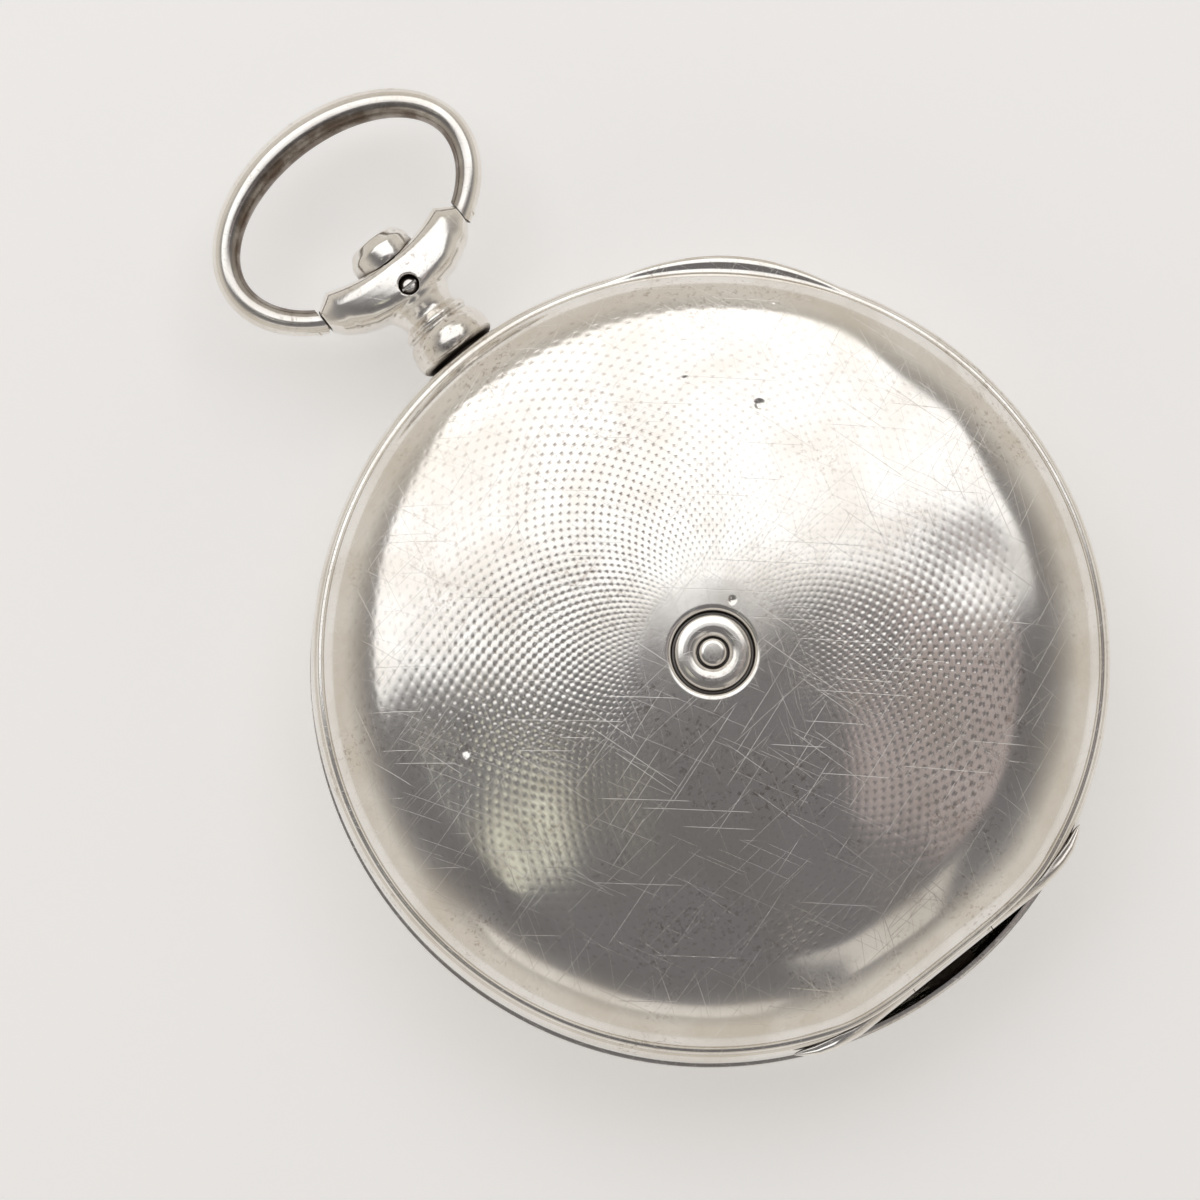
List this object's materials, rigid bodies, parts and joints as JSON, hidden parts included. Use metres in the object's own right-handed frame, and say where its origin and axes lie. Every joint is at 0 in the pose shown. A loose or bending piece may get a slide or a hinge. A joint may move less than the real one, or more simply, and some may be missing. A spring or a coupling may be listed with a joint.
{
  "type": "pocket watch",
  "caption": "Key-wind hunter-case pocket watch in worn engine-turned silver, with hinged covers, sprung button, oval bow and a geared movement inside.",
  "frame": {"origin": "centre of the flat crown of the front cover, which the watch lies on", "axes": "+Z out of the domed back, +Y towards the pendant at 12 o'clock, X along the cover hinges"},
  "size_m": [0.055, 0.0747, 0.0156],
  "materials": {
    "silver": "worn polished silver",
    "glass": "clear",
    "enamel": "white vitreous enamel",
    "blued_steel": "blued",
    "steel": "polished",
    "gilt": "frosted gilt",
    "brass": "satin"
  },
  "bodies": {
    "case": {"case_middle": "silver", "bezel": "silver", "crystal": "glass", "back_hinge_pin": "steel", "front_hinge_pin": "steel", "cuvette_hinge_pin": "steel", "pendant": "silver", "push_piece_screw": "steel", "lift_spring": "steel", "lock_spring_screw": "blued_steel", "lift_spring_screw": "blued_steel", "case_screw_1": "blued_steel", "case_screw_2": "blued_steel", "main_plate": "gilt", "barrel_bridge": "gilt", "train_bridge": "gilt", "pallet_bridge": "gilt", "balance_cock": "gilt", "barrel_bridge_screw_1": "blued_steel", "barrel_bridge_screw_2": "blued_steel", "train_bridge_screw_1": "blued_steel", "train_bridge_screw_2": "blued_steel", "pallet_bridge_screw": "blued_steel", "balance_cock_screw": "blued_steel", "dial": "enamel", "hairspring": "blued_steel", "click_spring": "blued_steel"},
    "back": {"back_cover": "silver", "centre_boss": "silver", "centre_boss_rivet": "silver"},
    "dust_cover": {"cuvette": "silver"},
    "front": {"front_cover": "silver"},
    "button": {"push_piece": "silver"},
    "lock": {"lock_spring": "steel"},
    "bow_ring": {"bow": "silver"},
    "minute": {"cannon_pinion": "steel", "minute_hand": "blued_steel"},
    "motion_wheel": {"minute_wheel": "brass"},
    "hour": {"hour_wheel": "brass", "hour_hand": "blued_steel"},
    "fourth": {"fourth_wheel": "brass", "fourth_pinion": "steel", "seconds_hand": "blued_steel"},
    "third": {"third_wheel": "brass", "third_pinion": "steel"},
    "centre": {"centre_wheel": "brass", "centre_pinion": "steel"},
    "drum": {"barrel": "brass", "barrel_cover": "brass", "mainspring": "steel"},
    "escape": {"escape_wheel": "steel", "escape_pinion": "steel"},
    "winding_arbor": {"barrel_arbor": "steel", "ratchet_wheel": "steel"},
    "click_pawl": {"click": "steel"},
    "fork": {"pallet_fork": "steel"},
    "balance_wheel": {"balance": "brass", "balance_staff": "steel"},
    "index": {"regulator": "steel"}
  },
  "joints": [
    {"name": "back_cover_hinge", "type": "hinge", "parent": "case", "child": "back", "pos_m": [0, -0.0256, 0.00995], "axis": [1, 0, 0], "range_deg": [0, 100]},
    {"name": "cuvette_hinge", "type": "hinge", "parent": "case", "child": "dust_cover", "pos_m": [0, -0.0234, 0.01035], "axis": [1, 0, 0], "range_deg": [0, 70]},
    {"name": "front_cover_hinge", "type": "hinge", "parent": "case", "child": "front", "pos_m": [0, -0.0256, 0.00405], "axis": [-1, 0, 0], "range_deg": [0, 95]},
    {"name": "push_piece_press", "type": "slide", "parent": "case", "child": "button", "axis": [0, -1, 0], "range_m": [0, 0.0005], "stiffness_N_per_m": 1000},
    {"name": "lock_spring_flex", "type": "hinge", "parent": "case", "child": "lock", "pos_m": [-0.02084, 0.01108, 0.0078], "axis": [0, 0, -1], "range_deg": [0, 1.5]},
    {"name": "bow_swing", "type": "hinge", "parent": "case", "child": "bow_ring", "pos_m": [0, 0.03475, 0.0073], "axis": [1, 0, 0], "range_deg": [-90, 90]},
    {"name": "hand_setting", "type": "hinge", "parent": "case", "child": "minute", "pos_m": [0, 0, 0.005], "axis": [0, 0, -1], "continuous": true},
    {"name": "motion_wheel_spin", "type": "hinge", "parent": "case", "child": "motion_wheel", "pos_m": [0.004, 0, 0.006], "axis": [0, 0, -1], "continuous": true},
    {"name": "hour_spin", "type": "hinge", "parent": "case", "child": "hour", "pos_m": [0, 0, 0.005], "axis": [0, 0, -1], "continuous": true},
    {"name": "seconds_spin", "type": "hinge", "parent": "case", "child": "fourth", "pos_m": [0, -0.01, 0.009], "axis": [0, 0, -1], "continuous": true},
    {"name": "third_spin", "type": "hinge", "parent": "case", "child": "third", "pos_m": [0.00353, -0.00586, 0.009], "axis": [0, 0, -1], "continuous": true},
    {"name": "centre_spin", "type": "hinge", "parent": "case", "child": "centre", "pos_m": [0, 0, 0.009], "axis": [0, 0, -1], "continuous": true},
    {"name": "barrel_spin", "type": "hinge", "parent": "case", "child": "drum", "pos_m": [-0.00518, 0.0074, 0.0075], "axis": [0, 0, -1], "continuous": true},
    {"name": "escape_spin", "type": "hinge", "parent": "case", "child": "escape", "pos_m": [-0.00455, -0.0092, 0.0084], "axis": [0, 0, -1], "continuous": true},
    {"name": "winding", "type": "hinge", "parent": "case", "child": "winding_arbor", "pos_m": [-0.00518, 0.0074, 0.0095], "axis": [0, 0, -1], "continuous": true},
    {"name": "click_lift", "type": "hinge", "parent": "case", "child": "click_pawl", "pos_m": [-0.00268, 0.01173, 0.011], "axis": [0, 0, -1], "range_deg": [0, 8]},
    {"name": "pallet_rock", "type": "hinge", "parent": "case", "child": "fork", "pos_m": [-0.00785, -0.00729, 0.0084], "axis": [0, 0, 1], "range_deg": [-5, 5]},
    {"name": "balance_swing", "type": "hinge", "parent": "case", "child": "balance_wheel", "pos_m": [-0.011, -0.0026, 0.0095], "axis": [0, 0, 1], "range_deg": [-270, 270], "stiffness_Nm_per_rad": 0.000001},
    {"name": "regulator_turn", "type": "hinge", "parent": "case", "child": "index", "pos_m": [-0.011, -0.0026, 0.0117], "axis": [0, 0, 1], "range_deg": [-25, 25]}
  ],
  "couplings": [
    {"joint": "cuvette_hinge", "follows": "back_cover_hinge", "ratio": 0.7},
    {"joint": "lock_spring_flex", "follows": "push_piece_press", "rad_per_m": 48},
    {"joint": "motion_wheel_spin", "follows": "hand_setting", "ratio": -0.33333},
    {"joint": "hour_spin", "follows": "hand_setting", "ratio": 0.083333},
    {"joint": "third_spin", "follows": "seconds_spin", "ratio": -0.13333},
    {"joint": "centre_spin", "follows": "seconds_spin", "ratio": 0.016667},
    {"joint": "barrel_spin", "follows": "seconds_spin", "ratio": -0.0027778},
    {"joint": "escape_spin", "follows": "seconds_spin", "ratio": -10}
  ]
}
